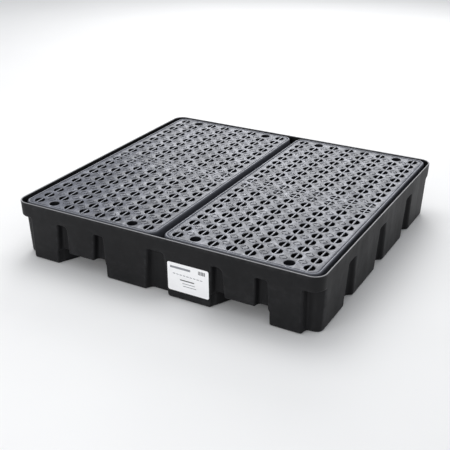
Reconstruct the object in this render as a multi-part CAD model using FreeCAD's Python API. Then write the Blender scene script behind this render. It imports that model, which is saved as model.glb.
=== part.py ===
import FreeCAD, Part
import math
import os

# Four-drum spill containment pallet: a moulded sump tray on three skids, two lift-out
# deck grates, eight round support posts and one product label on the front wall.
# Frame: origin on the floor under the middle of the pallet, +X to the right along the
# front (labelled) side, +Y to the back, +Z up.  Millimetres.

os.makedirs("parts", exist_ok=True)
V = FreeCAD.Vector
UP = V(0, 0, 1)
ORIGIN = V(0, 0, 0)

# ---------------------------------------------------------------- tray dimensions
HALF_X = 1350.0 / 2      # middle to rim, left and right
HALF_Y = 1243.0 / 2      # middle to rim, front and back
HEIGHT = 242.5           # floor to rim
WALL = 6.0               # moulded wall thickness
DRAFT_X = 12.0           # how far the side walls lean in from the rim to the floor
DRAFT_Y = 2.5            # the same for the front and back walls
RIM_R = 50.0             # rim corner radius, seen from above
RIM_R_MIN = 5.0          # least corner radius of an inset form
RIM_R_DRAFT = 5.0        # how much smaller the corner radius is at the floor
OPEN_TOP = 4.0           # how far the hollow runs up past the rim

# Cutters run past the tray so that no faces coincide
BELOW = 1.0              # below the floor
PAST_WALL = 5.0          # beyond a wall
PAST_CORNER = 30.0       # beyond a corner

TUNNEL_H = 60.0          # fork tunnel height
TUNNEL_IN, TUNNEL_OUT = 237.0, 478.0      # tunnel mouth edges, from the middle
TUNNEL_FLARE = 45.0      # how far each side closes in behind the mouth
TUNNEL_STRAIGHT = 12.0   # depth of the full-width mouth
TUNNEL_LEAD = 100.0      # depth at which the narrowing ends

# Grooves: x of the left and right edges at the floor, then the same at the groove top
RECESS_TOP = 178.0       # top of every groove, corner recess and pillar hollow
MIDDLE_GROOVE = (-52.0, 52.0, -38.0, 38.0)
OUTER_GROOVE = (419.0, TUNNEL_OUT, 421.0, 467.0)
INNER_GROOVE = (TUNNEL_IN, 302.0, 244.0, 286.0)
SIDE_GROOVE = (-47.0, 47.0, -33.0, 33.0)
GROOVE_DEPTH = 28.0      # in the front and back walls
SIDE_DEPTH = 23.0        # in the left and right walls
MIDDLE_SLANT = 14.0      # how far each flank runs inward from mouth to back wall
TUNNEL_SLANT = 7.0       # the same for the grooves over the tunnels
SIDE_SLANT = 12.0        # the same for the side grooves
MOUTH_SPREAD = 1.0       # extra width per side of a groove cutter outside the wall

SIDE_PITCH = 324.0       # spacing of the side grooves and the pillars
STATIONS_Y = (-SIDE_PITCH, 0.0, SIDE_PITCH)
PILLAR_R_FLOOR, PILLAR_R_TOP = 52.0, 36.0  # radius of the hollow under each pillar

CORNER_X = 604.0         # where the outer skid stops, from the middle
CORNER_R = 44.0          # round corner column behind the recess
CORNER_DEPTH = 36.0      # depth of the corner recess behind the front or back wall
CORNER_GAP = 0.5         # the column's setback from the side wall
CORNER_SLANT = 6.0       # slant of the recess flank next to the skid
CORNER_STEPS = 8         # straight facets round the column

# ---------------------------------------------------------------- grate dimensions
GRATE_HX, GRATE_HY = 634.0 / 2, 1210.0 / 2
GRATE_CX = 332.0         # grate middle, from the pallet's middle
# side name: (direction in x, shift in x, shift in y); each grate lies loose in its clearance
GRATE_SIDES = {"left": (-1.0, 2.5, 0.0), "right": (1.0, 2.5, 2.0)}
GRATE_TOP = 240.5
GRATE_BOTTOM = 184.5
PLATE = 8.0              # deck plate thickness
PLATE_BOTTOM = GRATE_TOP - PLATE
GRATE_R = 38.0           # grate corner radius
SKIRT = 5.0              # edge wall thickness
RIB = 6.0                # rib thickness
RIB_TOP = 238.5          # rib tops, just under the deck surface
OVERLAP = 1.0            # how far lower pieces run up into the plate

COLS, ROWS = 8, 20
COL_PITCH, ROW_PITCH = 76.3, 59.3
HOLE_R = 20.5
HOLE_X = [(i - (COLS - 1) / 2) * COL_PITCH for i in range(COLS)]
HOLE_Y = [(j - (ROWS - 1) / 2) * ROW_PITCH for j in range(ROWS)]
MIDDLE_ROWS = (9, 10)            # rows with a cross rib through their holes
RIB_GAPS = (1, 4, 14, 17)        # a cross rib lies between each of these rows and the next

# ---------------------------------------------------------------- cup and post dimensions
POST_COLS = (1, 6)       # hole positions that are blind cups over a post
POST_ROWS = (0, ROWS - 1)
POST_XY = [(HOLE_X[i], HOLE_Y[j]) for i in POST_COLS for j in POST_ROWS]
CUP_FLOOR = 219.5        # floor of the blind cup
CUP_CUT = 60.0           # height of the cup cutter
SOCKET_TOP = 215.5       # roof of the socket below it
BOSS_R = 30.0
BOSS_BOTTOM = 164.5
POST_R = 25.0
POST_WALL = 3.5
SOCKET_R = POST_R + 0.3
POST_END_GAP = 0.4       # clearance at the tray floor and at the socket roof
POST_BOTTOM, POST_TOP = WALL + POST_END_GAP, SOCKET_TOP - POST_END_GAP

# ---------------------------------------------------------------- label dimensions
LABEL_W, LABEL_H, LABEL_T = 178.0, 119.0, 0.4
LABEL_X, LABEL_Z = 143.5, 94.0            # label middle
LABEL_R = 8.0            # corner radius
LABEL_GAP = 0.05         # between label and wall


# ---------------------------------------------------------------- helpers
def lean(z, draft):
    """How far a wall with this draft stands in from the rim at height z."""
    return draft * (HEIGHT - z) / HEIGHT


def rounded_wire(half_x, half_y, radius, z):
    x, y = half_x - radius, half_y - radius
    arcs = []
    for corner_x, corner_y, start in ((x, y, 0), (-x, y, 90), (-x, -y, 180), (x, -y, 270)):
        angles = [math.radians(start + step) for step in (0, 45, 90)]
        arcs.append([V(corner_x + radius * math.cos(a), corner_y + radius * math.sin(a), z)
                     for a in angles])
    edges = []
    for i, arc in enumerate(arcs):
        edges.append(Part.Arc(*arc).toShape())
        edges.append(Part.makeLine(arc[2], arcs[(i + 1) % 4][0]))
    return Part.Wire(edges)


def polygon(points, z):
    return Part.makePolygon([V(x, y, z) for x, y in points + points[:1]])


def loft(lower, upper):
    """Solid with ruled sides between two wires."""
    return Part.makeLoft([lower, upper], True, True)


def holed_face(wires):
    return Part.Face(wires, "Part::FaceMakerBullseye")


def mirror_x(shape):
    return shape.mirror(ORIGIN, V(1, 0, 0))


def mirror_y(shape):
    return shape.mirror(ORIGIN, V(0, 1, 0))


def four_ways(shape):
    across = mirror_x(shape)
    return [shape, across, mirror_y(shape), mirror_y(across)]


def save(shape, name):
    if len(shape.Solids) == 1:
        shape = shape.Solids[0]
    shape.exportStep("parts/%s.step" % name)


# ---------------------------------------------------------------- sump tray
# The outer form and the hollow share one recipe: inset moves every surface into the
# material, so the body shrinks and its cutters grow.
def tunnel(inset):
    """Right fork tunnel, front to back, narrowing behind both mouths."""
    left, right = TUNNEL_IN - inset, TUNNEL_OUT + inset
    near_left, near_right = left + TUNNEL_FLARE, right - TUNNEL_FLARE
    end = HALF_Y + PAST_WALL
    mouth = HALF_Y - TUNNEL_STRAIGHT
    lead = HALF_Y - TUNNEL_LEAD
    outline = [(left, -end), (right, -end), (right, -mouth), (near_right, -lead),
               (near_right, lead), (right, mouth), (right, end), (left, end),
               (left, mouth), (near_left, lead), (near_left, -lead), (left, -mouth)]
    face = Part.Face(polygon(outline, -BELOW))
    return face.extrude(V(0, 0, TUNNEL_H + inset + BELOW))


def groove(edges, wall_y, draft, depth, slant, inset):
    """Groove in a wall at -wall_y; its back leans with the wall."""
    left_floor, right_floor, left_top, right_top = edges

    def ring(z):
        rise = z / RECESS_TOP
        left = left_floor + (left_top - left_floor) * rise - inset
        right = right_floor + (right_top - right_floor) * rise + inset
        outside = -wall_y - PAST_WALL
        back = -wall_y + lean(z, draft) + depth + inset
        return polygon([(left - MOUTH_SPREAD, outside), (right + MOUTH_SPREAD, outside),
                        (right - slant, back), (left + slant, back)], z)

    return loft(ring(-BELOW), ring(RECESS_TOP + inset))


def corner_recess(inset):
    """Recess at the back right corner, open to the back and rounded into the right wall."""

    def ring(z):
        radius = CORNER_R - inset
        column_x = HALF_X - lean(z, DRAFT_X) - CORNER_R - CORNER_GAP
        column_y = HALF_Y - lean(z, DRAFT_Y) - CORNER_DEPTH - CORNER_R
        skid_x = CORNER_X - inset
        right, back = HALF_X + PAST_CORNER, HALF_Y + PAST_CORNER
        points = [(right, back), (skid_x, back), (skid_x + CORNER_SLANT, column_y + radius)]
        for i in range(CORNER_STEPS + 1):
            angle = math.radians(90.0 - 90.0 * i / CORNER_STEPS)
            points.append((column_x + radius * math.cos(angle),
                           column_y + radius * math.sin(angle)))
        points.append((right, column_y))
        return polygon(points, z)

    return loft(ring(-BELOW), ring(RECESS_TOP + inset))


def tray_body(inset, top):
    radius = max(RIM_R - inset, RIM_R_MIN)
    rings = [rounded_wire(HALF_X - inset - lean(z, DRAFT_X), HALF_Y - inset - lean(z, DRAFT_Y),
                          radius - lean(z, RIM_R_DRAFT), z)
             for z in (inset, top)]
    return loft(*rings)


def tray_form(inset, top):
    right_tunnel = tunnel(inset)
    cuts = [right_tunnel, mirror_x(right_tunnel)]

    # front and back walls: one groove in the middle, two pairs over the tunnels
    middle = groove(MIDDLE_GROOVE, HALF_Y, DRAFT_Y, GROOVE_DEPTH, MIDDLE_SLANT, inset)
    cuts += [middle, mirror_y(middle)]
    for edges in (OUTER_GROOVE, INNER_GROOVE):
        cuts += four_ways(groove(edges, HALF_Y, DRAFT_Y, GROOVE_DEPTH, TUNNEL_SLANT, inset))

    # right and left walls: made as a front groove, then turned to face right
    for y in STATIONS_Y:
        side = groove(SIDE_GROOVE, HALF_X, DRAFT_X, SIDE_DEPTH, SIDE_SLANT, inset)
        side.rotate(ORIGIN, UP, 90)
        side.translate(V(0, y, 0))
        cuts += [side, mirror_x(side)]

    cuts += four_ways(corner_recess(inset))

    # hollow pillars along the middle
    for y in STATIONS_Y:
        cuts.append(Part.makeCone(PILLAR_R_FLOOR + inset, PILLAR_R_TOP + inset,
                                  RECESS_TOP + inset + BELOW, V(0, y, -BELOW), UP))
    return tray_body(inset, top).cut(cuts)


def sump_tray():
    return tray_form(0.0, HEIGHT).cut(tray_form(WALL, HEIGHT + OPEN_TOP))


# ---------------------------------------------------------------- deck grates
def deck_plate():
    wires = [rounded_wire(GRATE_HX, GRATE_HY, GRATE_R, PLATE_BOTTOM)]
    for x in HOLE_X:
        for y in HOLE_Y:
            wires.append(Part.Wire([Part.makeCircle(HOLE_R, V(x, y, PLATE_BOTTOM), UP)]))
    return holed_face(wires).extrude(V(0, 0, PLATE))


def edge_wall():
    outside = rounded_wire(GRATE_HX, GRATE_HY, GRATE_R, GRATE_BOTTOM)
    inside = rounded_wire(GRATE_HX - SKIRT, GRATE_HY - SKIRT, GRATE_R - SKIRT, GRATE_BOTTOM)
    return holed_face([outside, inside]).extrude(V(0, 0, PLATE_BOTTOM - GRATE_BOTTOM + OVERLAP))


def ribs():
    """Ribs ending halfway through the edge wall."""
    # one long rib under every column, crossing each hole just below the surface
    boxes = [Part.makeBox(RIB, 2 * GRATE_HY - SKIRT, RIB_TOP - GRATE_BOTTOM,
                          V(x - RIB / 2, -GRATE_HY + SKIRT / 2, GRATE_BOTTOM))
             for x in HOLE_X]
    # cross ribs: through the two middle rows, and between rows further out
    cross = [(HOLE_Y[j], RIB_TOP) for j in MIDDLE_ROWS]
    cross += [((HOLE_Y[j] + HOLE_Y[j + 1]) / 2, PLATE_BOTTOM + OVERLAP) for j in RIB_GAPS]
    for y, top in cross:
        boxes.append(Part.makeBox(2 * GRATE_HX - SKIRT, RIB, top - GRATE_BOTTOM,
                                  V(-GRATE_HX + SKIRT / 2, y - RIB / 2, GRATE_BOTTOM)))
    return boxes


def grate():
    """Deck grate about the origin, with four blind cups over post sockets."""
    body = deck_plate().fuse([edge_wall()] + ribs())
    body = body.fuse([Part.makeCylinder(BOSS_R, PLATE_BOTTOM + OVERLAP - BOSS_BOTTOM,
                                        V(x, y, BOSS_BOTTOM)) for x, y in POST_XY])
    cuts = [Part.makeCylinder(HOLE_R, CUP_CUT, V(x, y, CUP_FLOOR)) for x, y in POST_XY]
    cuts += [Part.makeCylinder(SOCKET_R, SOCKET_TOP - BOSS_BOTTOM + BELOW,
                               V(x, y, BOSS_BOTTOM - BELOW)) for x, y in POST_XY]
    return body.cut(cuts)


# ---------------------------------------------------------------- support posts
def post(x, y):
    length = POST_TOP - POST_BOTTOM
    tube = Part.makeCylinder(POST_R, length, V(x, y, POST_BOTTOM))
    bore = Part.makeCylinder(POST_R - POST_WALL, length + 2 * BELOW,
                             V(x, y, POST_BOTTOM - BELOW))
    return tube.cut(bore)


# ---------------------------------------------------------------- product label
def product_label():
    """Rounded label leaning with the front wall."""
    label = Part.makeBox(LABEL_W, LABEL_T, LABEL_H, V(-LABEL_W / 2, -LABEL_T, -LABEL_H / 2))
    corners = [e for e in label.Edges if abs(e.tangentAt(e.FirstParameter).y) > 0.9]
    label = label.makeFillet(LABEL_R, corners)
    label.rotate(ORIGIN, V(1, 0, 0), math.degrees(math.atan2(DRAFT_Y, HEIGHT)))
    label.translate(V(LABEL_X, -(HALF_Y - lean(LABEL_Z, DRAFT_Y)) - LABEL_GAP, LABEL_Z))
    return label


# ---------------------------------------------------------------- build
save(sump_tray(), "sump_tray")

deck = grate()
for side_name, (direction, shift_x, shift_y) in GRATE_SIDES.items():
    middle_x = direction * GRATE_CX + shift_x
    placed = deck.copy()
    placed.translate(V(middle_x, shift_y, 0))
    save(placed.removeSplitter(), "grate_" + side_name)

    for x, y in POST_XY:
        post_x = middle_x + x
        row = "front" if y < 0 else "back"
        column = "outer" if abs(post_x) > GRATE_CX else "inner"
        save(post(post_x, y + shift_y).removeSplitter(),
             "post_%s_%s_%s" % (side_name, row, column))

save(product_label().removeSplitter(), "product_label")
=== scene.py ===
# A plastic sump tray, open at the top, with two perforated grates side by side on hollow posts.
# It stands on z = 0, centred on the origin: x runs along its longer side, y from front (-y) to
# back (+y), z up. Sizes are in mm and become metres as each mesh is made; materials, lights
# and the camera are in metres.
import math

import bpy
import numpy as np
from mathutils import Matrix, Vector
from mathutils.geometry import delaunay_2d_cdt


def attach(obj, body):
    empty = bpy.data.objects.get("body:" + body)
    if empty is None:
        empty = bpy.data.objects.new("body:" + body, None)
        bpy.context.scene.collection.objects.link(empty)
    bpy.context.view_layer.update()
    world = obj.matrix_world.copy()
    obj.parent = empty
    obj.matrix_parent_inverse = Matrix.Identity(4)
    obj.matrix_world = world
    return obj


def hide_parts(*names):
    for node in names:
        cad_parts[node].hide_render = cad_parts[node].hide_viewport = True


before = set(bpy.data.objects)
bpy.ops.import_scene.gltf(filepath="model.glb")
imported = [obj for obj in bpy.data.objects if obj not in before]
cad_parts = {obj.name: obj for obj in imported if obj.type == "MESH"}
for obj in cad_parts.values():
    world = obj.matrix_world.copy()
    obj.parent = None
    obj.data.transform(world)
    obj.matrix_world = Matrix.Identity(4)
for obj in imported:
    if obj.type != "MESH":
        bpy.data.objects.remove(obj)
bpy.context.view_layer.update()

MM = 0.001

# ------------------------------------------------------------------ sizes, mm
# Tray: half sizes at the rim; the drafts are how much each half size shrinks down to the foot.
HALF_X, HALF_Y, TRAY_H = 675.0, 621.5, 242.5
WALL, DRAFT_X, DRAFT_Y, RIM_R = 6.0, 12.0, 2.5, 50.0
# Wall grooves, corner recesses and hollow pillars all end at the same height.
NOTCH_TOP, NOTCH_DEPTH, SIDE_DEPTH = 178.0, 28.0, 23.0
# Fork tunnels: inner and outer side as distances from the middle, height, widening at a mouth.
TUNNEL_IN, TUNNEL_OUT, TUNNEL_H, TUNNEL_FLARE = 237.0, 478.0, 60.0, 45.0
CORNER_X, CORNER_R, CORNER_DEPTH = 604.0, 44.0, 36.0
SIDE_PITCH = 324.0
SIDE_YS = (-SIDE_PITCH, 0.0, SIDE_PITCH)

# Grates: centred at x = -GRATE_CX and +GRATE_CX, then shifted a little.
GRATE_X, GRATE_Y, GRATE_CX = 634.0, 1210.0, 332.0
GRATE_HX, GRATE_HY = GRATE_X / 2, GRATE_Y / 2
SIDES = (("left", -1.0), ("right", 1.0))
GRATE_SHIFT = {"left": (2.5, 0.0), "right": (2.5, 2.0)}
GRATE_R, GRATE_TOP, GRATE_BOTTOM = 38.0, 240.5, 184.5
DECK_Z = GRATE_TOP - 1.5           # the deck between the raised border and the tread lozenges
DECK_UNDER = GRATE_TOP - 8.0
COLS, ROWS, COL_PITCH, ROW_PITCH, HOLE_R = 8, 20, 76.3, 59.3, 20.5
HOLE_XS = [(i - (COLS - 1) / 2) * COL_PITCH for i in range(COLS)]
HOLE_YS = [(j - (ROWS - 1) / 2) * ROW_PITCH for j in range(ROWS)]
HOLE_CENTRES = [(x, y) for y in HOLE_YS for x in HOLE_XS]

# Blind cups in four of the holes, each with a socket below for a post.
CUP_FLOOR, SOCKET_TOP, BOSS_BOTTOM = 219.5, 215.5, 164.5
CUP_COLS = (1, COLS - 2)
CUPS = [(i, j) for i in CUP_COLS for j in (0, ROWS - 1)]
POST_BOTTOM, POST_TOP = 6.4, 215.1


# ------------------------------------------------------------------ mesh helpers
def new_object(name, verts, faces, mats, face_mats=None, sharp_angle=None):
    """A smooth-shaded object from mm coordinates; edges above sharp_angle degrees stay sharp."""
    mesh = bpy.data.meshes.new(name)
    mesh.from_pydata((np.asarray(verts, float) * MM).tolist(), [], faces)
    for mat in mats:
        mesh.materials.append(mat)
    if face_mats is not None:
        mesh.polygons.foreach_set("material_index", np.asarray(face_mats, np.int32))
    mesh.polygons.foreach_set("use_smooth", np.ones(len(mesh.polygons), bool))
    mesh.update()
    obj = bpy.data.objects.new(name, mesh)
    bpy.context.scene.collection.objects.link(obj)
    if sharp_angle is not None:
        mesh.set_sharp_from_angle(angle=math.radians(sharp_angle))
    return obj


def band(first, second, count):
    """Quads between two rings of vertices that start at the given indices."""
    quads = []
    for i in range(count):
        j = (i + 1) % count
        quads.append([first + i, first + j, second + j, second + i])
    return quads


class Build:
    """Collects closed shells into one mesh."""

    def __init__(self):
        self.verts, self.faces, self.mats = [], [], []

    def add(self, verts, faces, mat=0):
        base = len(self.verts)
        self.verts.extend([tuple(p) for p in verts])
        self.faces.extend([[base + i for i in face] for face in faces])
        self.mats.extend([mat] * len(faces))

    def rings(self, rings, loop=False, mat=0):
        """Shell through rings of equal length, capped at both ends or looped back to the first."""
        size, count = len(rings[0]), len(rings)
        faces = []
        for a in range(count if loop else count - 1):
            faces += band(a * size, (a + 1) % count * size, size)
        if not loop:
            faces.append(list(range(size))[::-1])
            faces.append([(count - 1) * size + i for i in range(size)])
        self.add([p for ring in rings for p in ring], faces, mat)


def circle(r, z, count, cx=0.0, cy=0.0):
    turns = [2 * math.pi * i / count for i in range(count)]
    return [(cx + r * math.cos(t), cy + r * math.sin(t), z) for t in turns]


def rounded_loop(hx, hy, r, steps):
    """Points round a rounded rectangle, counter-clockwise from the right."""
    points = []
    corners = [(hx - r, hy - r, 0), (-hx + r, hy - r, 90),
               (-hx + r, -hy + r, 180), (hx - r, -hy + r, 270)]
    for x, y, start in corners:
        for i in range(steps + 1):
            t = math.radians(start + 90.0 * i / steps)
            points.append((x + r * math.cos(t), y + r * math.sin(t)))
    return points


# ------------------------------------------------------------------ the tray as a field
# Each form is a function of x, y and z that is negative inside it, roughly the distance in mm.
# Grooves in the front and back walls: (low, high) x at the foot, (low, high) x at the top,
# then the rounding of the top corner on the low and the high side.
END_NOTCHES = (
    ((-TUNNEL_OUT, -419), (-467, -421), (6, 17)),
    ((-302, -TUNNEL_IN), (-286, -244), (6, 6)),
    ((TUNNEL_IN, 302), (244, 286), (6, 17)),
    ((419, TUNNEL_OUT), (421, 467), (6, 6)),
)


def smooth_max(a, b, r):
    """Intersection of two forms, with the edge between them rounded to r."""
    return (np.minimum(-r, np.maximum(a, b))
            + np.sqrt(np.maximum(a + r, 0) ** 2 + np.maximum(b + r, 0) ** 2))


def smooth_min(a, b, r):
    """Union of two forms, with a rounded join."""
    return -smooth_max(-a, -b, r)


def rounded_box(x, y, hx, hy, r):
    dx, dy = np.abs(x) - hx + r, np.abs(y) - hy + r
    outside = np.sqrt(np.maximum(dx, 0) ** 2 + np.maximum(dy, 0) ** 2)
    return outside + np.minimum(np.maximum(dx, dy), 0) - r


def notch(along, outside, z, foot, top, depth, slant, radii):
    """Groove in a wall. along runs along the wall, outside is how far outside it a point is.

    foot and top are the (low, high) ends of the groove at z = 0 and at NOTCH_TOP; slant is
    how far each side closes in over the depth.
    """
    rise = np.clip(z / NOTCH_TOP, -0.1, 1.3)
    low = foot[0] + (top[0] - foot[0]) * rise
    high = foot[1] + (top[1] - foot[1]) * rise
    slope = slant / depth
    unit = 1.0 / math.sqrt(1 + slope * slope)
    low_side = (low - slope * outside - along) * unit
    high_side = (along - high - slope * outside) * unit
    roof = z - NOTCH_TOP
    sides = np.maximum(smooth_max(low_side, roof, radii[0]), smooth_max(high_side, roof, radii[1]))
    return smooth_max(sides, -outside - depth, 9.0)


def fork_tunnels(ax, ay, z):
    """Channels under the tray that widen over the 88 mm inside each mouth."""
    narrow = TUNNEL_FLARE * np.clip((HALF_Y - 12.0 - ay) / 88.0, 0.0, 1.0)
    # the factor makes up for the slanted sides of the lead-in
    sides = np.maximum((TUNNEL_IN + narrow - ax), (ax - TUNNEL_OUT + narrow)) * 0.94
    return smooth_max(sides, z - TUNNEL_H, 9.0)


def corner_recesses(x, y, z, hx, hy):
    """Recesses that leave a rounded vertical column at each corner."""
    column = rounded_box(x, y, hx + 7.5, hy - CORNER_DEPTH, CORNER_R)
    outside = np.abs(y) - hy
    edge = (CORNER_X + 6.0 * np.clip(-outside / CORNER_DEPTH, -0.3, 1.2) - np.abs(x))
    return smooth_max(smooth_max(edge, -column, 8.0), z - NOTCH_TOP, 7.0)


def pillar(x, y, z):
    """Hollow cone that narrows upwards from the foot."""
    radius = 52.0 - 16.0 * np.clip(z / NOTCH_TOP, -0.1, 1.2)
    cone = (np.sqrt(x * x + y ** 2) - radius) * 0.996
    return smooth_max(cone, z - NOTCH_TOP, 10.0)


def hull(x, y, z):
    """Outer form of the tray, open upwards."""
    ax, ay = np.abs(x), np.abs(y)
    drop = (TRAY_H - z) / TRAY_H
    hx, hy = HALF_X - DRAFT_X * drop, HALF_Y - DRAFT_Y * drop
    body = smooth_max(rounded_box(x, y, hx, hy, RIM_R - 5.0 * drop), -z, 9.0)
    cut = notch(x, ay - hy, z, foot=(-52, 52), top=(-38, 38), depth=NOTCH_DEPTH, slant=14.0,
                radii=(7.0, 9.0))
    for foot, top, radii in END_NOTCHES:
        cut = np.minimum(cut, notch(x, ay - hy, z, foot, top, NOTCH_DEPTH, 7.0, radii))
    for yc in SIDE_YS:
        cut = np.minimum(cut, notch(y - yc, ax - hx, z, foot=(-47, 47), top=(-33, 33),
                                    depth=SIDE_DEPTH, slant=12.0, radii=(6.0, 6.0)))
    cut = smooth_min(cut, fork_tunnels(ax, ay, z), 5.0)
    cut = np.minimum(cut, corner_recesses(x, y, z, hx, hy))
    for yc in SIDE_YS:
        cut = np.minimum(cut, pillar(x, y - yc, z))
    return smooth_max(body, -cut, 7.0)


def tray_field(x, y, z):
    """The wall of the tray: a skin inside the hull, cut off with a rounded edge at the rim."""
    skin = np.abs(hull(x, y, z) + WALL / 2) - WALL / 2
    return smooth_max(skin, z - TRAY_H, 2.9)


def sample_field(field, xs, ys, zs):
    """Field values on the grid. The form is symmetric in y, so only the back half is computed."""
    middle = len(ys) // 2
    half = ys[middle:]
    values = np.empty((len(xs), len(ys), len(zs)), np.float32)
    slab = 48                      # x layers at a time, to save memory
    for a in range(0, len(xs), slab):
        b = min(a + slab, len(xs))
        part = field(xs[a:b, None, None].astype(np.float32),
                     half[None, :, None].astype(np.float32),
                     zs[None, None, :].astype(np.float32))
        values[a:b, middle:] = part
        values[a:b, :middle] = part[:, ::-1]
    return values


def net_vertices(values, cells, offsets):
    """One point per cell, in grid steps: the mean of the crossings on the cell's edges."""
    ci, cj, ck = cells.T
    at_corner = np.stack([values[ci + i, cj + j, ck + k] for i, j, k in offsets], 1)
    at_corner = at_corner.astype(np.float64)
    corner = np.array(offsets, float)
    total, hits = np.zeros((len(cells), 3)), np.zeros(len(cells))
    for p in range(8):
        for q in range(p + 1, 8):
            if abs(corner[p] - corner[q]).sum() != 1:
                continue
            a, b = at_corner[:, p], at_corner[:, q]
            crosses = (a < 0) != (b < 0)
            t = np.where(crosses, a / np.where(crosses, a - b, 1.0), 0.0)
            point = corner[p] + t[:, None] * (corner[q] - corner[p])
            total += np.where(crosses[:, None], point, 0.0)
            hits += crosses
    return cells + total / hits[:, None]


def net_quads(solid, index):
    """Each grid edge that crosses the surface gives one quad between its four cells."""
    quads = []
    for axis in range(3):
        near, far = [slice(None)] * 3, [slice(None)] * 3
        near[axis], far[axis] = slice(0, -1), slice(1, None)
        edges = np.argwhere(solid[tuple(near)] != solid[tuple(far)])
        u, v = (axis + 1) % 3, (axis + 2) % 3
        inner = ((edges[:, u] > 0) & (edges[:, v] > 0)
                 & (edges[:, u] < solid.shape[u] - 1) & (edges[:, v] < solid.shape[v] - 1))
        edges = edges[inner]
        du, dv = np.zeros(3, int), np.zeros(3, int)
        du[u], dv[v] = 1, 1
        quad = np.stack([index[tuple((edges - du - dv).T)], index[tuple((edges - dv).T)],
                         index[tuple(edges.T)], index[tuple((edges - du).T)]], 1)
        starts_inside = solid[tuple(edges.T)]
        quad[~starts_inside] = quad[~starts_inside][:, ::-1]
        quads.append(quad)
    return np.concatenate(quads)


def surface_nets(field, xs, ys, zs):
    """Vertices and quads round the zero surface of the field."""
    values = sample_field(field, xs, ys, zs)
    solid = values < 0
    count = np.zeros(tuple(n - 1 for n in values.shape), np.uint8)
    offsets = [(i, j, k) for i in (0, 1) for j in (0, 1) for k in (0, 1)]
    for i, j, k in offsets:
        count += solid[i:i + count.shape[0], j:j + count.shape[1], k:k + count.shape[2]]
    active = (count > 0) & (count < 8)
    cells = np.argwhere(active)
    index = np.full(active.shape, -1, np.int32)
    index[active] = np.arange(len(cells), dtype=np.int32)
    origin, step = np.array([xs[0], ys[0], zs[0]]), xs[1] - xs[0]
    verts = origin + net_vertices(values, cells, offsets) * step
    return verts, net_quads(solid, index)


def gradient(field, points, reach=0.4):
    slope = np.empty_like(points)
    for axis in range(3):
        low, high = points.copy(), points.copy()
        low[:, axis] -= reach
        high[:, axis] += reach
        slope[:, axis] = (field(*high.T) - field(*low.T)) / (2 * reach)
    return slope


def settle(field, points, cap):
    """Move points onto the zero surface in two rounds of at most cap mm each."""
    for _ in range(2):
        slope = gradient(field, points)
        square = np.maximum((slope * slope).sum(1), 0.25)
        move = -(field(*points.T) / square)[:, None] * slope
        size = np.linalg.norm(move, axis=1, keepdims=True)
        points = points + move * np.minimum(1.0, cap / np.maximum(size, 1e-9))
    return points


def outward_bend(field, points, reach=4.0):
    """How sharply the form turns outwards at each point, 0 to 1."""
    bend = np.zeros(len(points))
    for axis in range(3):
        offset = np.zeros(3)
        offset[axis] = reach
        bend += field(*(points + offset).T) + field(*(points - offset).T)
    return np.clip(bend / 5.0, 0.0, 1.0)


# ------------------------------------------------------------------ tray
def raw_tray(verts, quads, mat):
    mesh = bpy.data.meshes.new("tray_raw")
    mesh.vertices.add(len(verts))
    mesh.vertices.foreach_set("co", (verts * MM).astype(np.float32).ravel())
    mesh.loops.add(len(quads) * 4)
    mesh.loops.foreach_set("vertex_index", quads.astype(np.int32).ravel())
    mesh.polygons.add(len(quads))
    mesh.polygons.foreach_set("loop_start", np.arange(0, len(quads) * 4, 4, dtype=np.int32))
    mesh.materials.append(mat)
    mesh.update(calc_edges=True)
    mesh.validate()
    obj = bpy.data.objects.new("tray_raw", mesh)
    bpy.context.scene.collection.objects.link(obj)
    return obj


def thinned_mesh(raw):
    """A decimated copy of the raw tray's mesh; the raw tray is removed."""
    thin = raw.modifiers.new("thin", "DECIMATE")
    thin.decimate_type = "COLLAPSE"
    thin.ratio = 0.16
    thin.use_collapse_triangulate = True
    depsgraph = bpy.context.evaluated_depsgraph_get()
    mesh = bpy.data.meshes.new_from_object(raw.evaluated_get(depsgraph))
    mesh.name = "sump_tray_visual"
    raw_mesh = raw.data
    bpy.data.objects.remove(raw)
    bpy.data.meshes.remove(raw_mesh)
    return mesh


def make_tray(mat):
    step = 3.0
    nx = int(math.ceil((HALF_X + 8) / step))
    ny = int(math.ceil((HALF_Y + 8) / step))
    xs = (np.arange(-nx, nx + 1)) * step
    ys = (np.arange(-ny, ny) + 0.5) * step
    zs = np.arange(-2, int(math.ceil((TRAY_H + 6) / step)) + 1) * step + 0.37 * step
    verts, quads = surface_nets(tray_field, xs, ys, zs)
    mesh = thinned_mesh(raw_tray(settle(tray_field, verts, cap=1.5), quads, mat))

    # thinning moves vertices off the form, so they settle again
    flat_co = np.empty(len(mesh.vertices) * 3, np.float32)
    mesh.vertices.foreach_get("co", flat_co)
    points = settle(tray_field, flat_co.reshape(-1, 3).astype(float) / MM, cap=0.6)
    normals = gradient(tray_field, points, 0.35)
    normals /= np.maximum(np.linalg.norm(normals, axis=1, keepdims=True), 1e-9)
    mesh.vertices.foreach_set("co", (points * MM).astype(np.float32).ravel())
    mesh.polygons.foreach_set("use_smooth", np.ones(len(mesh.polygons), bool))
    mesh.update()
    mesh.normals_split_custom_set_from_vertices(normals.astype(np.float32).tolist())
    wear = mesh.attributes.new("edge_wear", "FLOAT", "POINT")
    wear.data.foreach_set("value", outward_bend(tray_field, points).astype(np.float32))
    obj = bpy.data.objects.new("sump_tray_visual", mesh)
    bpy.context.scene.collection.objects.link(obj)
    return obj


# ------------------------------------------------------------------ deck grate
# Material slots of the grate, in order.
DECK, EDGE, RIB, TREAD = range(4)
HOLE_SEGMENTS = 32
CUP_SEGMENTS = 36

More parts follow.
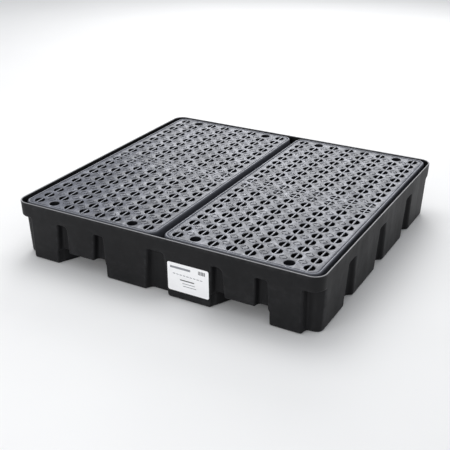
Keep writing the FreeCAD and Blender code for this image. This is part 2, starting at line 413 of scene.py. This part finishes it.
# Border, from the deck outwards over the raised rim and down the skirt: (inset from edge, z).
BORDER = [
    (14.2, DECK_Z), (13.0, DECK_Z - 0.5), (12.2, DECK_Z - 1.5), (11.2, DECK_Z - 1.9),
    (10.2, DECK_Z - 1.4), (9.4, DECK_Z + 0.0), (8.2, DECK_Z + 1.1), (6.8, DECK_Z + 1.5),
    (5.2, DECK_Z + 1.35), (3.6, DECK_Z + 0.6), (2.1, DECK_Z - 0.9), (1.0, DECK_Z - 3.0),
    (0.3, DECK_Z - 5.8), (0.0, DECK_Z - 9.0), (0.0, GRATE_BOTTOM + 1.4),
    (0.4, GRATE_BOTTOM + 0.4), (1.4, GRATE_BOTTOM), (3.6, GRATE_BOTTOM),
    (4.6, GRATE_BOTTOM + 0.4), (5.0, GRATE_BOTTOM + 1.4), (5.0, DECK_UNDER),
]
EDGE_BANDS = range(4, 15)          # from the groove's outer side down to the skirt's foot

# Hole, from the deck down: (radius, z).
HOLE = [(HOLE_R + 1.7, DECK_Z), (HOLE_R + 0.95, DECK_Z - 0.2), (HOLE_R + 0.35, DECK_Z - 0.75),
        (HOLE_R, DECK_Z - 1.7), (HOLE_R, GRATE_TOP - 7.4), (HOLE_R + 0.6, DECK_UNDER)]

# Cup, up the outside of the boss and down to the cup floor, then the socket: (radius, z).
CUP_OUTER = [(29.4, BOSS_BOTTOM), (30.0, BOSS_BOTTOM + 0.6), (30.0, GRATE_TOP - 7.0),
             (20.5, GRATE_TOP - 7.0), (20.5, CUP_FLOOR + 1.4), (20.1, CUP_FLOOR + 0.4),
             (19.1, CUP_FLOOR), (2.5, CUP_FLOOR)]
CUP_SOCKET = [(2.5, SOCKET_TOP), (24.7, SOCKET_TOP), (25.3, SOCKET_TOP - 0.6),
              (25.3, BOSS_BOTTOM + 0.9), (25.9, BOSS_BOTTOM)]

# Tread lozenge seen from above: (along, across).
LOZENGE = [(-9.8, -0.7), (-8.4, -1.5), (-3.0, -2.3), (3.0, -2.3), (8.4, -1.5), (9.8, -0.7),
           (9.8, 0.7), (8.4, 1.5), (3.0, 2.3), (-3.0, 2.3), (-8.4, 1.5), (-9.8, 0.7)]


def perforated_plane(outer, radius, up):
    """Triangles between the outer loop and the holes; indices count outer first, then holes."""
    seg = HOLE_SEGMENTS
    points = [Vector((p[0], p[1])) for p in outer]
    rims = [list(range(len(points)))]
    for cx, cy in HOLE_CENTRES:
        base = len(points)
        points += [Vector((p[0], p[1])) for p in circle(radius, 0, seg, cx, cy)]
        rims.append(list(range(base, base + seg)))
    edges = []
    for rim in rims:
        edges += [(rim[i], rim[(i + 1) % len(rim)]) for i in range(len(rim))]
    # output type 1 keeps the triangles inside the outer loop
    placed, _, triangles, sources, _, _ = delaunay_2d_cdt(points, edges, [], 0, 1e-6, 1)
    source_of = {}
    for k, group in enumerate(sources):
        for source in group:
            source_of[k] = source
    positions = np.array([[p.x, p.y] for p in placed])
    centres = np.array(HOLE_CENTRES)
    inside_hole = (radius * math.cos(math.pi / seg) - 1e-3) ** 2
    kept = []
    for triangle in triangles:
        middle = positions[list(triangle)].mean(0)
        a, b, c = ids = [source_of[i] for i in triangle]
        if ((centres - middle) ** 2).sum(1).min() < inside_hole and min(ids) >= len(outer):
            if len({(i - len(outer)) // seg for i in ids}) == 1:
                continue
        pa, pb, pc = points[a], points[b], points[c]
        area = (pb.x - pa.x) * (pc.y - pa.y) - (pb.y - pa.y) * (pc.x - pa.x)
        if abs(area) < 1e-9:
            continue
        kept.append([a, b, c] if (area > 0) == up else [a, c, b])
    return kept


def add_deck(build):
    """Deck, border and hole walls as one shell."""
    seg = HOLE_SEGMENTS
    loops = [[(x, y, z) for x, y in rounded_loop(GRATE_HX - inset, GRATE_HY - inset,
                                                 GRATE_R - inset, 10)] for inset, z in BORDER]
    size = len(loops[0])
    verts = [p for loop in loops for p in loop]
    hole_starts = []
    for cx, cy in HOLE_CENTRES:
        hole_starts.append(len(verts))
        for r, z in HOLE:
            verts += circle(r, z, seg, cx, cy)

    def vertex(i, loop, ring):
        """Mesh index of point i of a plane bounded by this border loop and hole ring."""
        if i < size:
            return loop * size + i
        return hole_starts[(i - size) // seg] + ring * seg + (i - size) % seg

    faces = []
    for loop, ring, up in ((0, 0, True), (len(loops) - 1, len(HOLE) - 1, False)):
        triangles = perforated_plane(loops[loop], HOLE[ring][0], up)
        faces += [[vertex(i, loop, ring) for i in triangle] for triangle in triangles]
    border_start = len(faces)
    for a in range(len(loops) - 1):
        for p, q, r, s in band(a * size, (a + 1) * size, size):
            faces.append([p, s, r, q])
    for start in hole_starts:
        for a in range(len(HOLE) - 1):
            faces += band(start + a * seg, start + (a + 1) * seg, seg)
    build.add(verts, faces, DECK)
    for a in EDGE_BANDS:
        first = border_start + a * size
        build.mats[first:first + size] = [EDGE] * size


def add_bar(build, centre, low, high, top, along_y, width=6.4):
    """Rib with a rounded top, from low to high along y or x."""
    hw = width / 2
    foot = GRATE_BOTTOM + 0.3
    profile = [(-hw * 0.8, foot), (hw * 0.8, foot), (hw, top - 1.1), (hw * 0.86, top - 0.35),
               (hw * 0.6, top), (-hw * 0.6, top), (-hw * 0.86, top - 0.35), (-hw, top - 1.1)]
    if along_y:
        ends = [[(centre + p, t, z) for p, z in profile] for t in (high, low)]
    else:
        ends = [[(t, centre + p, z) for p, z in profile] for t in (low, high)]
    build.rings(ends, mat=RIB)


def add_ribs(build):
    rib_top = DECK_Z - 0.4
    end_x, end_y = GRATE_HX - 4.0, GRATE_HY - 4.0
    gap = 28.0                     # ribs stop this far from the centre of a cup
    front, back = HOLE_YS[0], HOLE_YS[-1]
    broken = ((-end_y, front - gap), (front + gap, back - gap), (back + gap, end_y))
    for i, x in enumerate(HOLE_XS):
        for low, high in broken if i in CUP_COLS else ((-end_y, end_y),):
            add_bar(build, x, low, high, rib_top, True)
    for j in (9, 10):
        add_bar(build, HOLE_YS[j], -end_x, end_x, rib_top - 0.15, False)
    for j in (1, 4, 14, 17):
        between = (HOLE_YS[j] + HOLE_YS[j + 1]) / 2
        add_bar(build, between, -end_x, end_x, GRATE_TOP - 6.0, False, width=4.0)


def add_cup(build, cx, cy):
    seg = CUP_SEGMENTS
    verts = [p for r, z in CUP_OUTER + CUP_SOCKET for p in circle(r, z, seg, cx, cy)]
    roof = len(CUP_OUTER)          # first ring of the socket
    last = roof + len(CUP_SOCKET) - 1
    faces = []
    for a in range(last):
        if a != roof - 1:
            faces += band(a * seg, (a + 1) * seg, seg)
    faces.append([(roof - 1) * seg + k for k in range(seg)])
    faces.append([roof * seg + k for k in range(seg)][::-1])
    faces += band(last * seg, 0, seg)
    build.add(verts, faces)


def lozenge_length(x, y, cos, sin, centres):
    """Full or shortened length factor that keeps a lozenge clear of the holes, or None."""
    for length, clearance in ((1.0, 4.6), (0.62, 4.2)):
        probes = [(x + t * length * cos, y + t * length * sin) for t in (-9.6, -5.0, 0.0, 5.0, 9.6)]
        nearest = min(((centres - p) ** 2).sum(1).min() for p in probes)
        if nearest >= (HOLE_R + clearance) ** 2:
            return length
    return None


def add_tread(build):
    """Raised lozenges, alternately at +42 and -42 degrees, clear of the holes and the border."""
    rng = np.random.RandomState(11)
    step_x, step_y = COL_PITCH / 4, ROW_PITCH / 4
    margin = 22.5
    centres = np.array(HOLE_CENTRES)
    for j in range(-44, 45):
        for i in range(-18, 19):
            x, y = (i + 0.5) * step_x, (j + 0.5) * step_y
            if abs(x) > GRATE_HX - margin or abs(y) > GRATE_HY - margin:
                continue
            angle = math.radians(42.0 if (i + j) % 2 else -42.0)
            cos, sin = math.cos(angle), math.sin(angle)
            length = lozenge_length(x, y, cos, sin, centres)
            if length is None:
                continue
            corner_x, corner_y = abs(x) - (GRATE_HX - GRATE_R), abs(y) - (GRATE_HY - GRATE_R)
            if corner_x > 0 and corner_y > 0 and math.hypot(corner_x, corner_y) > GRATE_R - 24:
                continue
            height = 1.5 + 0.2 * rng.rand()
            # (scale of the outline, height above the deck)
            levels = ((1.0, -0.5), (1.0, 0.02), (0.90, height * 0.62), (0.74, height * 0.93),
                      (0.55, height))
            build.rings([[(x + (px * length * s * cos - py * s * sin),
                           y + (px * length * s * sin + py * s * cos), DECK_Z + dz)
                          for px, py in LOZENGE] for s, dz in levels], mat=TREAD)


def make_grates(mats):
    build = Build()
    add_deck(build)
    add_ribs(build)
    for i, j in CUPS:
        add_cup(build, HOLE_XS[i], HOLE_YS[j])
    add_tread(build)
    grates = {}
    for side, sign in SIDES:
        shift_x, shift_y = GRATE_SHIFT[side]
        verts = np.array(build.verts) + (sign * GRATE_CX + shift_x, shift_y, 0.0)
        grates[side] = new_object("grate_%s_visual" % side, verts, build.faces, mats, build.mats,
                                  sharp_angle=32.0)
    return grates


# ------------------------------------------------------------------ posts
# Tube wall, up the outside and down the inside: (radius, z).
POST = [(24.2, POST_BOTTOM), (24.8, POST_BOTTOM + 0.3), (25.0, POST_BOTTOM + 1.0),
        (25.0, POST_TOP - 1.0), (24.8, POST_TOP - 0.3), (24.2, POST_TOP),
        (22.3, POST_TOP), (21.7, POST_TOP - 0.3), (21.5, POST_TOP - 1.0),
        (21.5, POST_BOTTOM + 1.0), (21.7, POST_BOTTOM + 0.3), (22.3, POST_BOTTOM)]


def make_post(name, cx, cy, mat):
    build = Build()
    build.rings([circle(r, z, 48, cx, cy) for r, z in POST], loop=True)
    return new_object(name, build.verts, build.faces, [mat], sharp_angle=50.0)


# ------------------------------------------------------------------ label
LABEL_X, LABEL_Z = 143.5, 94.0     # centre of the label on the front wall
# Material slots of the label, in order.
WHITE, INK, GREY = range(3)
# Upright bars: (offset of the centre from the first bar, width).
BARS = [(0, 2.2), (4.4, 3.4), (9.4, 1.8), (13.2, 2.8), (18.0, 3.6), (22.8, 2.0), (26.8, 2.8)]


def make_label(mats):
    """Thin plate on the drafted front wall; plain strips and bars stand in for the printing."""
    build = Build()
    tilt = math.atan2(DRAFT_Y, TRAY_H)
    wall_y = -(HALF_Y - DRAFT_Y * (TRAY_H - LABEL_Z) / TRAY_H)
    origin = np.array([LABEL_X, wall_y - 0.05, LABEL_Z])
    right = np.array([1.0, 0, 0])
    up = np.array([0, -math.sin(tilt), math.cos(tilt)])
    out = np.array([0, -math.cos(tilt), -math.sin(tilt)])

    def plate(loop, inner, outer, mat):
        build.rings([[tuple(origin + right * u + up * w + out * level) for u, w in loop]
                     for level in (inner, outer)], mat=mat)

    def mark(u, w, width, height, mat, r=None):
        r = min(width, height) * 0.3 if r is None else r
        loop = rounded_loop(width / 2, height / 2, r, 3)
        plate([(u + a, w + b) for a, b in loop], 0.38, 0.46, mat)

    plate(rounded_loop(89, 59.5, 8, 8), 0.0, 0.4, WHITE)
    mark(-33, 41, 88, 9.0, GREY, r=0.6)
    for offset, width in BARS:
        mark(46 + offset, 42, width, 15.0, INK, r=0.3)
    for k in range(9):
        mark(-60 + k * 14.6, 14.5 - 0.3 * k, 11.0, 3.0, GREY)
    mark(-4, -7, 62, 4.4, INK)
    mark(2, -20, 54, 2.8, GREY)
    mark(6, -31, 58, 2.8, GREY)
    return new_object("product_label_visual", build.verts, build.faces, mats, build.mats,
                      sharp_angle=30.0)


# ------------------------------------------------------------------ materials
def grey(red, green, blue):
    return (red, green, blue, 1)


class Surface:
    """A material with one Principled shader, and short ways to add the nodes that feed it."""

    def __init__(self, name):
        self.material = bpy.data.materials.new(name)
        self.material.use_nodes = True
        self.tree = self.material.node_tree
        self.tree.nodes.clear()
        output = self.node("OutputMaterial")
        self.shader = self.node("BsdfPrincipled")
        self.tree.links.new(self.shader.outputs[0], output.inputs[0])
        self.coords = self.node("TexCoord").outputs["Object"]

    def node(self, kind):
        return self.tree.nodes.new("ShaderNode" + kind)

    def put(self, node, **inputs):
        """Set or link inputs by name, with underscores for spaces."""
        for key, value in inputs.items():
            self.feed(node.inputs[key.replace("_", " ")], value)

    def feed(self, socket, value):
        if isinstance(value, bpy.types.NodeSocket):
            self.tree.links.new(value, socket)
        else:
            socket.default_value = value

    def split(self, vector):
        node = self.node("SeparateXYZ")
        self.feed(node.inputs[0], vector)
        return node.outputs

    def noise(self, scale, detail=4.0, rough=0.55, distort=0.0, stretch=None, turn=(0.0, 0.0, 0.0)):
        source = self.coords
        if stretch is not None:
            mapping = self.node("Mapping")
            self.put(mapping, Scale=stretch, Rotation=turn, Vector=source)
            source = mapping.outputs[0]
        node = self.node("TexNoise")
        self.put(node, Scale=scale, Detail=detail, Roughness=rough, Distortion=distort,
                 Vector=source)
        return node.outputs["Fac"]

    def remap(self, value, span=(0.3, 0.7), to=(0.0, 1.0)):
        node = self.node("MapRange")
        self.put(node, From_Min=span[0], From_Max=span[1], To_Min=to[0], To_Max=to[1],
                 Value=value)
        return node.outputs["Result"]

    def mix_colour(self, factor, first, second):
        node = self.node("Mix")
        node.data_type = "RGBA"
        for i, value in ((6, first), (7, second)):
            node.inputs[i].default_value = (0, 0, 0, 1)
            self.feed(node.inputs[i], value)
        self.feed(node.inputs[0], factor)
        return node.outputs[2]

    def mix_value(self, factor, first, second):
        node = self.node("Mix")
        node.data_type = "FLOAT"
        for i, value in ((0, factor), (2, first), (3, second)):
            self.feed(node.inputs[i], value)
        return node.outputs[0]

    def bump(self, height, strength, distance, under=None):
        node = self.node("Bump")
        self.put(node, Strength=strength, Distance=distance, Height=height)
        if under is not None:
            self.put(node, Normal=under)
        return node.outputs[0]


def tray_material():
    s = Surface("tray_plastic_black")
    cloud = s.noise(scale=5.0, detail=5.0, rough=0.6)
    grain = s.noise(scale=900.0, detail=2.0, rough=0.5)
    peel = s.noise(scale=150.0, detail=3.0)
    sag = s.noise(scale=11.0, detail=2.0, rough=0.5)
    streak = s.noise(scale=3.0, detail=5.0, rough=0.6, distort=0.4, stretch=(3.0, 3.0, 0.6))
    base = s.mix_colour(s.remap(cloud), grey(0.0063, 0.0063, 0.0071), grey(0.0102, 0.0102, 0.0112))
    base = s.mix_colour(s.remap(streak, span=(0.45, 0.8), to=(0.0, 0.5)), base,
                        grey(0.0150, 0.0150, 0.0158))
    # outward edges are rubbed paler, in patches
    wear = s.node("Attribute")
    wear.attribute_name = "edge_wear"
    rubbed = s.node("Math")
    rubbed.operation = "MULTIPLY"
    s.feed(rubbed.inputs[0], s.remap(wear.outputs["Fac"], span=(0.35, 0.9), to=(0.0, 0.8)))
    patches = s.noise(scale=34.0, detail=5.0, rough=0.65)
    s.feed(rubbed.inputs[1], s.remap(patches, span=(0.42, 0.60), to=(0.1, 1.0)))
    base = s.mix_colour(rubbed.outputs[0], base, grey(0.030, 0.030, 0.032))
    # painted highlight: the top of the rim lip is painted pale grey and made glossier, standing in
    # for the line of light along the rim
    height = s.split(s.coords)["Z"]
    rim = s.remap(height, span=(TRAY_H * MM - 0.0024, TRAY_H * MM - 0.0010))
    base = s.mix_colour(rim, base, grey(0.30, 0.30, 0.31))
    rough = s.mix_value(rim, s.remap(streak, span=(0.3, 0.75), to=(0.46, 0.62)), 0.25)
    normal = s.bump(sag, strength=0.20, distance=0.010)
    normal = s.bump(peel, strength=0.12, distance=0.0008, under=normal)
    normal = s.bump(grain, strength=0.16, distance=0.0002, under=normal)
    s.put(s.shader, Base_Color=base, Roughness=rough, Specular_IOR_Level=0.17, Normal=normal)
    return s.material


def grate_material(name, side, tint, amount):
    """side colours the upright faces; tint is mixed by amount into the faces that look up."""
    s = Surface(name)
    cloud = s.noise(scale=3.2, rough=0.6, distort=0.6)
    patch = s.noise(scale=20.0, detail=6.0, rough=0.7, distort=0.9)
    fine = s.noise(scale=130.0, rough=0.6)
    grain = s.noise(scale=1100.0, detail=2.0, rough=0.5)
    drag = s.noise(scale=30.0, detail=6.0, rough=0.75, distort=0.3,
                   stretch=(1.0, 0.28, 1.0), turn=(0.0, 0.0, 0.7))
    scuff = s.noise(scale=26.0, detail=6.0, rough=0.75, distort=0.2,
                    stretch=(0.3, 1.0, 1.0), turn=(0.0, 0.0, -0.6))
    tone = s.mix_colour(s.remap(cloud), grey(0.050, 0.054, 0.070), grey(0.085, 0.092, 0.117))
    # (noise, its span, strongest mix, colour)
    for marks, span, most, colour in (
            (patch, (0.46, 0.66), 0.75, grey(0.180, 0.190, 0.230)),
            (drag, (0.52, 0.66), 0.70, grey(0.290, 0.302, 0.350)),
            (scuff, (0.54, 0.68), 0.65, grey(0.024, 0.026, 0.034))):
        tone = s.mix_colour(s.remap(marks, span=span, to=(0.0, most)), tone, colour)
    # painted light: faces that look up get the lighter tone with its rubbed marks, painted as lit,
    # while upright faces get the dark side colour, painted shade on the walls and ribs below
    facing = s.split(s.node("NewGeometry").outputs["Normal"])["Z"]
    height = s.split(s.coords)["Z"]
    up = s.remap(facing, span=(0.70, 0.96))
    # whatever stands above the deck is mixed towards pale grey
    crown = s.remap(height, span=((DECK_Z + 0.35) * MM, (DECK_Z + 1.35) * MM), to=(0.0, 0.55))
    tone = s.mix_colour(crown, tone, grey(0.215, 0.225, 0.262))
    tone = s.mix_colour(amount, tone, tint)
    body = s.mix_colour(up, side, tone)
    rough = s.remap(patch, to=(0.46, 0.28))
    normal = s.bump(fine, strength=0.45, distance=0.0012)
    normal = s.bump(grain, strength=0.12, distance=0.0002, under=normal)
    s.put(s.shader, Base_Color=body, Roughness=rough, Specular_IOR_Level=0.42, Normal=normal)
    return s.material


def post_material():
    s = Surface("post_plastic_grey")
    cloud = s.noise(scale=9.0, rough=0.6)
    rings = s.noise(scale=60.0, detail=3.0, rough=0.6, stretch=(0.15, 0.15, 3.0))
    base = s.mix_colour(s.remap(cloud), grey(0.060, 0.062, 0.068), grey(0.085, 0.088, 0.095))
    s.put(s.shader, Base_Color=base, Roughness=s.remap(rings, to=(0.34, 0.48)),
          Normal=s.bump(rings, strength=0.10, distance=0.0004))
    return s.material


def print_material(name, dark, light, rough):
    s = Surface(name)
    cloud = s.noise(scale=30.0, rough=0.6)
    fibre = s.noise(scale=700.0, detail=3.0, rough=0.6)
    s.put(s.shader, Base_Color=s.mix_colour(s.remap(cloud), dark, light),
          Roughness=s.remap(cloud, to=(rough - 0.04, rough + 0.06)),
          Normal=s.bump(fibre, strength=0.05, distance=0.0001))
    return s.material


def floor_material():
    s = Surface("floor_pale")
    cloud = s.noise(scale=1.5, detail=3.0, rough=0.5)
    base = s.mix_colour(s.remap(cloud), grey(0.86, 0.86, 0.86), grey(0.88, 0.88, 0.88))
    s.put(s.shader, Base_Color=base, Roughness=0.9)
    return s.material


# ------------------------------------------------------------------ build
def fit(obj, ride, replaces):
    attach(obj, ride)
    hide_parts(replaces)


# painted light: the pale tint is mixed into the faces of the border edge and the ribs that look up
# as a painted highlight, and the dark tint darkens the tread lozenges as painted shade
PAINTED_HIGHLIGHT, PAINTED_SHADE = grey(0.34, 0.355, 0.40), grey(0.014, 0.015, 0.019)
tray_mat, post_mat = tray_material(), post_material()
# painted light: the side colours paint the upright faces near black as painted shade, and the
# edge's lighter side colour paints its skirt as lit
grate_mats = [
    grate_material("grate_plastic_deck", side=grey(0.007, 0.0072, 0.009), tint=PAINTED_SHADE, amount=0.0),
    grate_material("grate_plastic_edge", side=grey(0.080, 0.084, 0.100), tint=PAINTED_HIGHLIGHT, amount=0.16),
    grate_material("grate_plastic_rib", side=grey(0.010, 0.010, 0.012), tint=PAINTED_HIGHLIGHT, amount=0.50),
    grate_material("grate_plastic_tread", side=grey(0.010, 0.0105, 0.013), tint=PAINTED_SHADE, amount=0.50),
]
label_mats = [
    print_material("label_white", grey(0.90, 0.90, 0.91), grey(0.94, 0.94, 0.95), rough=0.35),
    print_material("label_ink", grey(0.03, 0.03, 0.035), grey(0.05, 0.05, 0.055), rough=0.4),
    print_material("label_grey", grey(0.22, 0.23, 0.25), grey(0.28, 0.29, 0.31), rough=0.4),
]

fit(make_tray(tray_mat), "tray", "sump_tray")

for side, grate in make_grates(grate_mats).items():
    fit(grate, "grate_" + side, "grate_" + side)

for side, sign in SIDES:
    for i, j in CUPS:
        x, y = sign * GRATE_CX + HOLE_XS[i], HOLE_YS[j]
        piece = "post_%s_%s_%s" % (side, "front" if y < 0 else "back",
                                   "outer" if abs(x) > GRATE_CX else "inner")
        shift_x, shift_y = GRATE_SHIFT[side]
        post = make_post(piece + "_visual", x + shift_x, y + shift_y, post_mat)
        fit(post, "grate_" + side, piece)

fit(make_label(label_mats), "tray", "product_label")

# ------------------------------------------------------------------ floor, light, camera
FLOOR_HALF, FLOOR_Z = 30000, -0.5  # mm
floor_corners = [(x * FLOOR_HALF, y * FLOOR_HALF, FLOOR_Z)
                 for x, y in ((-1, -1), (1, -1), (1, 1), (-1, 1))]
new_object("floor", floor_corners, [[0, 1, 2, 3]], [floor_material()])

world = bpy.data.worlds.new("studio")
bpy.context.scene.world = world
world.use_nodes = True
background = world.node_tree.nodes["Background"]
background.inputs["Color"].default_value = (0.96, 0.975, 1.0, 1)
background.inputs["Strength"].default_value = 0.62
bpy.context.scene.view_settings.view_transform = "Standard"


def area_light(name, place, target, size, power):
    light = bpy.data.lights.new(name, "AREA")
    light.shape = "RECTANGLE"
    light.size, light.size_y = size
    light.energy = power
    light.color = (1, 1, 1)
    obj = bpy.data.objects.new(name, light)
    obj.location = place
    obj.rotation_euler = (Vector(target) - Vector(place)).to_track_quat("-Z", "Y").to_euler()
    bpy.context.scene.collection.objects.link(obj)


area_light("key_over", place=(-0.6, 0.9, 3.4), target=(0, 0, 0.2), size=(3.4, 2.4), power=62.0)
area_light("back_soft", place=(-1.7, 4.4, 2.6), target=(0, 0, 0.2), size=(3.4, 2.0), power=90.0)
area_light("side_right", place=(3.6, -0.4, 1.5), target=(0.3, 0, 0.15), size=(2.4, 1.6), power=0.6)
area_light("front_fill", place=(-0.6, -4.2, 1.5), target=(0, 0, 0.15), size=(3.4, 1.6), power=47.0)

# The camera's own axes and its place, in the world.
CAMERA_RIGHT = (0.8707968443423034, 0.4916152222010457, -0.005227732175864641)
CAMERA_UP = (-0.20930670926837336, 0.3803239924198052, 0.9008575704532951)
CAMERA_BACK = (0.44486352664231715, -0.7833697301339109, 0.4340832968144295)
CAMERA_PLACE = (1.5757803181378408, -2.862627570675354, 1.600330258869313)

camera_data = bpy.data.cameras.new("camera")
camera_data.sensor_fit = "HORIZONTAL"
camera_data.sensor_width = 36.0
camera_data.lens = 65.94912244596454
camera_data.clip_end = 100.0
camera = bpy.data.objects.new("camera", camera_data)
camera.matrix_world = Matrix((*zip(CAMERA_RIGHT, CAMERA_UP, CAMERA_BACK, CAMERA_PLACE),
                              (0, 0, 0, 1)))
bpy.context.scene.collection.objects.link(camera)
bpy.context.scene.camera = camera

bpy.context.view_layer.update()
